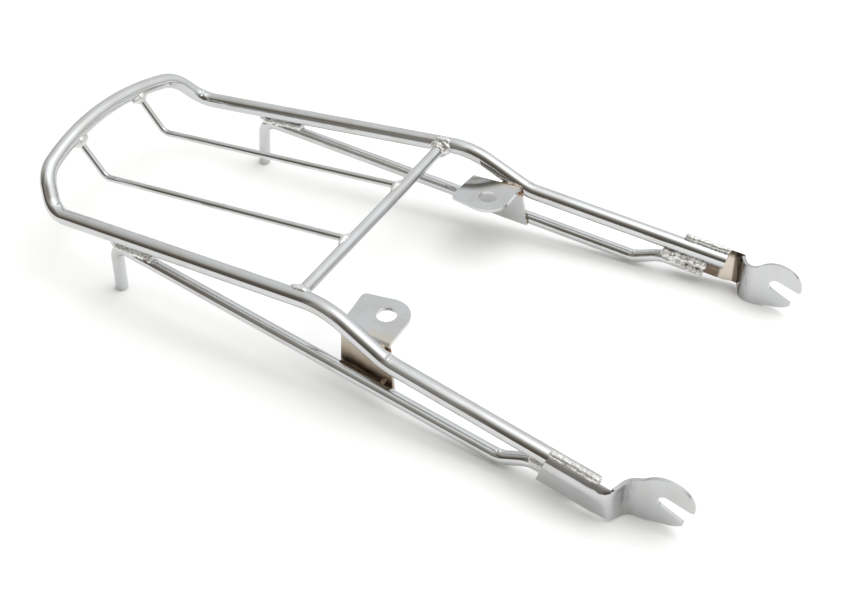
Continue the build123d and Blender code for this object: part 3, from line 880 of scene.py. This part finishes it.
def soften_bend(sheet):
    """Cuts the sheet finely round its outer bend and smooths the crease there into a curve."""
    edit(sheet)
    for step in ACROSS_CUTS:
        bpy.ops.mesh.select_all(action="SELECT")
        cut = BEND_FOOT + BEND_ACROSS * (step * ACROSS_STEP)
        bpy.ops.mesh.bisect(plane_co=cut, plane_no=BEND_ACROSS)
    for step in HEIGHT_CUTS:
        pick(sheet, lambda vertex: from_bend(vertex.co) < CUT_REACH)
        bpy.ops.mesh.bisect(plane_co=UP * (step * HEIGHT_STEP), plane_no=UP)
    pick(sheet, lambda vertex: from_bend(vertex.co) < CUT_REACH)
    bpy.ops.mesh.remove_doubles(threshold=SLIVER)
    bpy.ops.mesh.dissolve_degenerate(threshold=SLIVER)
    bpy.ops.object.mode_set(mode="OBJECT")
    bend = sheet.vertex_groups.new(name="bend")
    for vertex in sheet.data.vertices:
        away = from_bend(vertex.co)
        if away < SMOOTH_REACH:
            bend.add([vertex.index], min(1.0, (SMOOTH_REACH - away) / SMOOTH_FADE), "REPLACE")
    apply_modifier(sheet, "SMOOTH", factor=0.5, iterations=SMOOTH_ROUNDS, vertex_group="bend")


def slope_front(tab, keep):
    """Draws the upper front corner of a tab's web back to the end of its fold."""
    edit(tab)
    pick(tab, lambda vertex: vertex.co.y > FRONT_CORNER_Y and vertex.co.z > FRONT_CORNER_Z)
    bpy.ops.transform.translate(value=keep(TAB_RUN * -FRONT_DRAW))
    bpy.ops.object.mode_set(mode="OBJECT")


def paint_pocket(fork, keep):
    """Marks the faces inside the pocket between the bracket's wall and its joggle."""
    pocket = fork.data.attributes.new("pocket", "FLOAT", "FACE")
    for face in fork.data.polygons:
        middle = keep(face.center)
        facing = keep(face.normal)
        inward = max(-facing.dot(WALL_NORMAL), facing.dot(JOGGLE_IN)) > POCKET_FACING
        beside = middle.x > POCKET_INNER_X and middle.y < POCKET_FRONT_Y
        pocket.data[face.index].value = 1.0 if inward and beside else 0.0


fork_sheet = bracket_copy("fork_plate_right", "fork_bracket_right")
slant_rear(fork_sheet)
strip_to_skin(fork_sheet)
soften_bend(fork_sheet)
apply_modifier(
    fork_sheet, "SOLIDIFY", thickness=FORK_SHEET, offset=-1, use_even_offset=True, use_rim=True
)
forks = {"right": fork_sheet, "left": mirror_copy(fork_sheet, "fork_plate_left")}
for side, keep in TO_SIDE.items():
    tab = bracket_copy(f"tab_plate_{side}", f"tab_bracket_{side}")
    slope_front(tab, keep)
    ease_edges(tab)
    finish_piece(tab, tab_chrome, "sheet", f"tab_bracket_{side}")
    ease_edges(forks[side])
    paint_pocket(forks[side], keep)
    finish_piece(forks[side], fork_chrome, "sheet", f"fork_bracket_{side}")

# Weld beads: runs of overlapping drops, melted together
BEAD_VOXEL = 0.00042
BEAD_GRAIN_SIZE = 0.0016
BEAD_SMOOTH_ANGLE = 180
DROP_SIDES = 20
DROP_RINGS = 12

# Least and greatest shares of a drop's stated radius
SEAM_SHARES = (0.78, 1.0)
BLOB_SHARES = (0.45, 0.72)
BLOB_CORE_SHARE = 0.86
TOE_SHARES = (0.8, 1.05)

bead_grain = bpy.data.textures.new("bead_grain", "CLOUDS")
bead_grain.noise_scale = BEAD_GRAIN_SIZE
bead_grain.noise_depth = 2


def add_drop(place, radius):
    """One round drop of weld metal."""
    bpy.ops.mesh.primitive_uv_sphere_add(
        segments=DROP_SIDES, ring_count=DROP_RINGS, radius=radius, location=place
    )


def melt(name, drops, grain, soft, finish, node):
    """Joins drops of weld metal into one lumpy bead that stands for a weld node."""
    start_fresh()
    first, *others = drops
    add_drop(*first)
    bead = bpy.context.object
    bead.name = name
    bpy.ops.object.transform_apply(location=True, rotation=True, scale=True)
    bpy.ops.object.mode_set(mode="EDIT")
    for drop in others:
        add_drop(*drop)
    bpy.ops.object.mode_set(mode="OBJECT")
    apply_modifier(bead, "REMESH", mode="VOXEL", voxel_size=BEAD_VOXEL)
    apply_modifier(bead, "SMOOTH", factor=0.5, iterations=soft)
    apply_modifier(
        bead, "DISPLACE", texture=bead_grain, texture_coords="LOCAL", strength=grain, mid_level=0.5
    )
    settle(bead, BEAD_SMOOTH_ANGLE)
    finish_piece(bead, finish, "weld", node)


def stray(chance):
    """A chance step, any way."""
    return Vector((chance.uniform(-1, 1), chance.uniform(-1, 1), chance.uniform(-1, 1)))


def seam(start, end, radius, spacing, wander, chance):
    """Drops along a straight seam, each a little off its line and size."""
    run = end - start
    count = max(2, round(run.length / spacing))
    drops = []
    for step in range(count + 1):
        place = start + run * (step / count) + stray(chance) * wander
        drops.append((place, radius * chance.uniform(*SEAM_SHARES)))
    return drops


def blob(centre, radius, count, spread, chance):
    """A cluster of drops round one place."""
    drops = [(centre, radius * BLOB_CORE_SHARE)]
    for step in range(count):
        place = centre + stray(chance).normalized() * spread
        drops.append((place, radius * chance.uniform(*BLOB_SHARES)))
    return drops


def across(centre, reaches, middle, end):
    """Drops on a level line across the rack, thickest in the middle."""
    widest = max(abs(reach) for reach in reaches)
    drops = []
    for reach in reaches:
        drops.append((centre + ACROSS * reach, middle + (end - middle) * abs(reach) / widest))
    return drops


def round_rail(along, angle, lift):
    """A point by the front rail: along the bracket's roll, round from inboard, off the axis."""
    turn = math.radians(angle)
    outward = RAIL_UP * math.sin(turn) - RAIL_OUT * math.cos(turn)
    return WALL_SEAT + RAIL_RUN * along + outward * lift


def beside_rail(height, along):
    """A point on the platform rail's inner side: above its axis and along from the cross bar."""
    inward = math.sqrt(RAIL_RADIUS ** 2 - height ** 2)
    return CROSS_BAR_SEAT + PLATFORM_RUN * along + UP * height - ACROSS * inward


# Seams of the strut under the rail: offset, drop radius, spacing, wander
STRUT_SEAMS = (
    (Vector((0, 0, 0)), 0.0042, 0.0026, 0.0007),
    (TAB_OUT * 0.0038 - UP * 0.0006, 0.0031, 0.0030, 0.0009),
    (TAB_OUT * -0.0036, 0.0030, 0.0032, 0.0008),
)
STRUT_SEAM_RUN = (PLATFORM_RUN + STRUT_RUN).normalized()
STRUT_SEAM = STRUT_SEAT + UP * 0.0058
STRUT_SEAM_REAR = STRUT_SEAM - STRUT_SEAM_RUN * 0.010 - UP * 0.0018
STRUT_SEAM_FRONT = STRUT_SEAM + STRUT_SEAM_RUN * 0.026

# Lumps behind the strut's seams: distance back, distance down, drop radius
STRUT_LUMPS = (
    (0.0155, 0.0052, 0.0034),
    (0.0125, 0.0060, 0.0044),
    (0.0115, 0.0095, 0.0040),
    (0.0085, 0.0075, 0.0046),
)
LUMP_TOP = RAIL_RADIUS - 0.0040


def strut_drops(chance):
    """The bead between the strut and the rail above it."""
    drops = []
    for offset, radius, spacing, wander in STRUT_SEAMS:
        start = STRUT_SEAM_REAR + offset
        drops += seam(start, STRUT_SEAM_FRONT + offset, radius, spacing, wander, chance)
    for back, down, radius in STRUT_LUMPS:
        above = between(RAIL_REAR, RAIL_TOP, STRUT_SEAT.y - back)
        drops.append((above - UP * (LUMP_TOP + down), radius))
    return drops


def tab_strut_drops(chance):
    """The bead between the tab's web and the strut, with a blob at its front end."""
    rear_height = between(STRUT_HEEL, STRUT_LOW, FOOT_Y - 0.039).z
    front_height = between(STRUT_HEEL, STRUT_LOW, FOOT_Y - 0.006).z
    start = web_point(0.039, rear_height - 0.0004, 0.0010)
    end = web_point(0.006, front_height - 0.0004, 0.0010)
    drops = seam(start, end, radius=0.0023, spacing=0.0022, wander=0.0003, chance=chance)
    front_end = web_point(0.0055, front_height + 0.0040, 0.0012)
    return drops + blob(front_end, radius=0.0026, count=5, spread=0.0024, chance=chance)


def tab_rail_drops(chance):
    """The bead between the tab's web and the rail."""
    start = web_point(0.020, 0.0545, 0.0008)
    end = start + TAB_RUN * 0.0125
    return seam(start, end, radius=0.0028, spacing=0.0022, wander=0.0004, chance=chance)


# Seams by the fork bracket's roll: start, end, angle, lift, drop radius, spacing, wander
ROLL_SEAMS = (
    (0.004, 0.0385, 110, 0.0086, 0.0034, 0.0018, 0.0003),
    (0.006, 0.0375, 127, 0.0076, 0.0027, 0.0022, 0.0004),
    (0.008, 0.036, 143, 0.0068, 0.0019, 0.0032, 0.0009),
)


def roll_drops(chance):
    """The bead between the lip of the fork bracket's roll and the rail."""
    drops = []
    for start, end, angle, lift, radius, spacing, wander in ROLL_SEAMS:
        first = round_rail(start, angle, lift)
        last = round_rail(end, angle, lift)
        drops += seam(first, last, radius, spacing, wander, chance)
    return drops


# Seams along the strut's tail: shift outward, lift, drop radius, wander
TAIL_SEAMS = (
    (0.0045, 0.00725, 0.0042, 0.0007),
    (-0.0024, 0.0068, 0.0046, 0.0009),
    (-0.0046, 0.0012, 0.0026, 0.0013),
)
TAIL_SPACING = 0.0030


def tail_drops(chance):
    """The bead between the strut's tail, the rail and the bracket's wall."""
    start = TAIL_LOW + RAIL_RUN * 0.004
    end = TAIL_TIP - RAIL_RUN * 0.002
    drops = []
    for shift, lift, radius, wander in TAIL_SEAMS:
        offset = RAIL_OUT * shift + UP * lift
        drops += seam(start + offset, end + offset, radius, TAIL_SPACING, wander, chance)
    gap = TAIL_LOW + RAIL_OUT * 0.0058 + UP * 0.0062
    start = gap + RAIL_RUN * 0.005
    end = gap + RAIL_RUN * 0.016
    drops += seam(start, end, radius=0.0030, spacing=0.0026, wander=0.0007, chance=chance)
    return drops


# Seams beside the cross bar's end: height, start, end, drop radius
BAR_SEAMS = (
    (0.0058, -0.0035, 0.0070, 0.0027),
    (0.0066, -0.0010, 0.0055, 0.0021),
)
BAR_SPACING = 0.0014
BAR_WANDER = 0.0004

# Rings round the cross bar's end: inset, distance from its axis, drop radius, shares of it
BAR_RINGS = (
    (0.0012, 0.0052, 0.0027, (0.85, 1.05)),
    (0.0034, 0.0042, 0.0022, (0.8, 1.05)),
)
BAR_WELD_END = Vector((CROSS_BAR_SEAT.x - 0.0063, CROSS_BAR_Y, CROSS_BAR_Z))
RING_DROPS = 26

# The bead's toe, an oval on the rail: its middle below and ahead of the seat, its half sizes
TOE_BELOW = 0.0006
TOE_AHEAD = 0.0012
TOE_HALF_HEIGHT = 0.0054
TOE_HALF_LENGTH = 0.0074
TOE_RADIUS = 0.0028


def cross_bar_drops(chance):
    """The bead round the cross bar's end: seams on the rail, its toe and two rings on the bar."""
    drops = []
    for height, start, end, radius in BAR_SEAMS:
        first = beside_rail(height, start)
        last = beside_rail(height, end)
        drops += seam(first, last, radius, BAR_SPACING, BAR_WANDER, chance)
    for step in range(RING_DROPS):
        turn = math.tau * step / RING_DROPS
        round_bar = Vector((0, math.sin(turn), math.cos(turn)))
        toe_height = -TOE_BELOW + TOE_HALF_HEIGHT * math.cos(turn)
        toe_along = TOE_AHEAD + TOE_HALF_LENGTH * math.sin(turn)
        toe = beside_rail(toe_height, toe_along)
        drops.append((toe, TOE_RADIUS * chance.uniform(*TOE_SHARES)))
        for inset, lift, radius, shares in BAR_RINGS:
            place = BAR_WELD_END - ACROSS * inset + round_bar * lift
            drops.append((place, radius * chance.uniform(*shares)))
    return drops


# Beads across the slats' ends: their middles, and how far across each drop sits
SLAT_HEEL = Vector((SLAT_X, CROSS_BAR_Y - 0.0034, CROSS_BAR_Z + 0.0030))
SLAT_HEAD = SLAT_TOP - SLAT_RISE * 0.0066
HEEL_REACHES = (-0.0068, -0.0045, -0.0022, 0.0, 0.0022, 0.0045, 0.0068)
HEAD_REACHES = (-0.0075, -0.005, -0.0025, 0.0, 0.0025, 0.005, 0.0075)

# The welds on each side: name, height of the grain, rounds of smoothing, finish
WELDS = (
    ("strut_weld", 0.0009, 4, weld_chrome),
    ("tab_rail_weld", 0.0006, 4, burnt_weld),
    ("tab_strut_weld", 0.0006, 4, burnt_weld),
    ("roll_weld", 0.0005, 7, weld_chrome),
    ("tail_weld", 0.0009, 4, weld_chrome),
    ("slat_front_weld", 0.0004, 4, weld_chrome),
    ("slat_rear_weld", 0.0006, 4, weld_chrome),
    ("cross_bar_weld", 0.0006, 9, weld_chrome),
)

for side, keep in TO_SIDE.items():
    chance = random.Random(side)
    drops_by_weld = {
        "strut_weld": strut_drops(chance),
        "tab_strut_weld": tab_strut_drops(chance),
        "roll_weld": roll_drops(chance),
        "tail_weld": tail_drops(chance),
        "cross_bar_weld": cross_bar_drops(chance),
        "tab_rail_weld": tab_rail_drops(chance),
        "slat_front_weld": across(SLAT_HEEL, HEEL_REACHES, middle=0.0042, end=0.0017),
        "slat_rear_weld": across(SLAT_HEAD, HEAD_REACHES, middle=0.0060, end=0.0026),
    }
    for name, grain, soft, finish in WELDS:
        placed = [(keep(place), radius) for place, radius in drops_by_weld[name]]
        melt(f"{name}_bead_{side}", placed, grain, soft, finish, f"{name}_{side}")

# Floor
FLOOR_SIZE = 60
FLOOR_DROP = 0.0002
FLOOR_GRAIN = 3.0
FLOOR_SHADES = ((0.93, 0.93, 0.93, 1), (0.95, 0.95, 0.95, 1))
start_fresh()
bpy.ops.mesh.primitive_plane_add(size=FLOOR_SIZE, location=(0, 0, -FLOOR_DROP))
floor = bpy.context.object
floor.name = "studio_floor"
floor_finish = bpy.data.materials.new("studio_floor_white")
floor_finish.use_nodes = True
floor_board = Board(floor_finish.node_tree)
floor_clouds = floor_board.noise(floor_board.place(), FLOOR_GRAIN, 2.0)
paper = floor_board.blend(floor_clouds, *FLOOR_SHADES)
floor_shader = floor_board.node(
    "ShaderNodeBsdfPrincipled",
    {},
    {"Base Color": paper, "Roughness": 0.9, "Specular IOR Level": 0.1},
)
floor_board.node("ShaderNodeOutputMaterial", {}, {"Surface": floor_shader})
floor.data.materials.append(floor_finish)

# Studio: white above and behind the rack and darker, a warm grey, on the camera's side
CAMERA_PLACE = (0.6408, 0.3979, 0.6505)
CAMERA_AZIMUTH = math.radians(120.02)
CAMERA_HEIGHT = math.radians(41.04)
CAMERA_ROLL = math.radians(-1.28)
CAMERA_LENS = 49.89
SENSOR_WIDTH = 36
NEAREST = 0.05
toward_camera = Vector((math.sin(CAMERA_AZIMUTH), -math.cos(CAMERA_AZIMUTH), 0))
camera_right = Vector((math.cos(CAMERA_AZIMUTH), math.sin(CAMERA_AZIMUTH), 0))


def studio_way(height, turn):
    """A direction at a height above the floor and a turn to the camera's right, in degrees."""
    ahead = toward_camera * math.cos(math.radians(turn))
    level_way = ahead + camera_right * math.sin(math.radians(turn))
    return level_way * math.cos(math.radians(height)) + Vector((0, 0, math.sin(math.radians(height))))


def grey(*levels):
    """Stops of a ramp from pairs of place and grey level."""
    return [(place, (level_of_grey,) * 3) for place, level_of_grey in levels]


DARK_SIDE = studio_way(0, -38)
DOORWAY = studio_way(0, -51)
DUSK_SIDE = studio_way(0, 100)
SOFTBOX = studio_way(65, 75)
SOFTBOX_AWAY = 2.4
STUDIO_STRENGTH = 1.25
AROUND_STOPS = grey((0.2, 0.0), (0.31, 0.1), (0.475, 0.28), (0.67, 0.42), (0.80, 0.62), (0.87, 1.0))
UPWARD_STOPS = grey(
    (0.0, 0.90),
    (0.1, 0.94),
    (0.2, 0.97),
    (0.41, 0.93),
    (0.60, 0.84),
    (0.70, 0.73),
    (0.79, 0.58),
    (0.88, 0.36),
    (0.96, 0.10),
)
ROOM_STOPS = [
    (0.0, (0.62, 0.63, 0.63)),
    (0.4, (0.39, 0.38, 0.345)),
    (0.7, (0.21, 0.195, 0.165)),
    (0.88, (0.14, 0.124, 0.104)),
    (0.97, (0.09, 0.079, 0.067)),
]
SOFTBOX_STOPS = grey(
    (0.45, 0.0), (0.72, 0.09), (0.84, 0.18), (0.92, 0.31), (0.96, 0.58), (0.988, 0.95)
)

world = bpy.data.worlds.new("studio")
bpy.context.scene.world = world
world.use_nodes = True
sky = Board(world.node_tree)
direction = sky.node("ShaderNodeTexCoord", {}, {}, "Generated")
height = sky.node("ShaderNodeSeparateXYZ", {}, {"Vector": direction}, "Z")
flat = sky.node("ShaderNodeVectorMath", {"operation": "MULTIPLY"}, {0: direction, 1: (1, 1, 0)})
flat = sky.node("ShaderNodeVectorMath", {"operation": "NORMALIZE"}, {0: flat})
to_dark_side = sky.vector_math("DOT_PRODUCT", flat, DARK_SIDE)
to_softbox = sky.vector_math("DOT_PRODUCT", direction, SOFTBOX)
to_doorway = sky.vector_math("DOT_PRODUCT", flat, DOORWAY)
to_dusk = sky.vector_math("DOT_PRODUCT", flat, DUSK_SIDE)
dim = sky.ramp(to_dark_side * 0.5 + 0.5, AROUND_STOPS) * sky.ramp(height, UPWARD_STOPS)
room = sky.ramp(dim, ROOM_STOPS)
softbox = sky.ramp(to_softbox * 0.5 + 0.5, SOFTBOX_STOPS)
light = sky.combine("ADD", room, sky.combine("MULTIPLY", softbox, 1 - dim))
light = sky.combine("ADD", light, sky.spread(to_doorway, 0.955, 0.99, 0.0, 0.12))
dusk = sky.spread(to_dusk, 0.75, 0.95, 0.0, 0.2) * sky.fade_out(height, 0.05, 0.45)
light = sky.combine("SUBTRACT", light, dusk)
background = sky.node("ShaderNodeBackground", {}, {"Color": light, "Strength": STUDIO_STRENGTH})
sky.node("ShaderNodeOutputWorld", {}, {"Surface": background})


def area_light(name, place, target, size, energy):
    """A square lamp that shines at a place; the chrome doesn't mirror it."""
    bpy.ops.object.light_add(type="AREA", location=place)
    lamp = bpy.context.object
    lamp.name = name
    lamp.data.shape = "RECTANGLE"
    lamp.data.size = size
    lamp.data.size_y = size
    lamp.data.energy = energy
    lamp.rotation_euler = (target - lamp.location).to_track_quat("-Z", "Y").to_euler()
    lamp.visible_glossy = False


start_fresh()
area_light("overhead_softbox", SOFTBOX * SOFTBOX_AWAY, Vector((0, 0, 0)), size=2.2, energy=22)
area_light("far_side_fill", (-0.55, 0.02, 0.85), Vector((-0.2, 0.02, 0)), size=0.8, energy=1.3)

# Camera, as in the photograph
bpy.ops.object.camera_add(location=CAMERA_PLACE)
camera = bpy.context.object
camera.name = "photo_camera"
back = Vector((
    math.sin(CAMERA_AZIMUTH) * math.cos(CAMERA_HEIGHT),
    -math.cos(CAMERA_AZIMUTH) * math.cos(CAMERA_HEIGHT),
    math.sin(CAMERA_HEIGHT),
))
camera.rotation_mode = "QUATERNION"
camera.rotation_quaternion = (-back).to_track_quat("-Z", "Y")
camera.rotation_quaternion.rotate(Quaternion(back, CAMERA_ROLL))
camera.data.sensor_width = SENSOR_WIDTH
camera.data.lens = CAMERA_LENS
camera.data.clip_start = NEAREST
bpy.context.scene.camera = camera
bpy.context.scene.view_settings.view_transform = "Standard"

start_fresh()
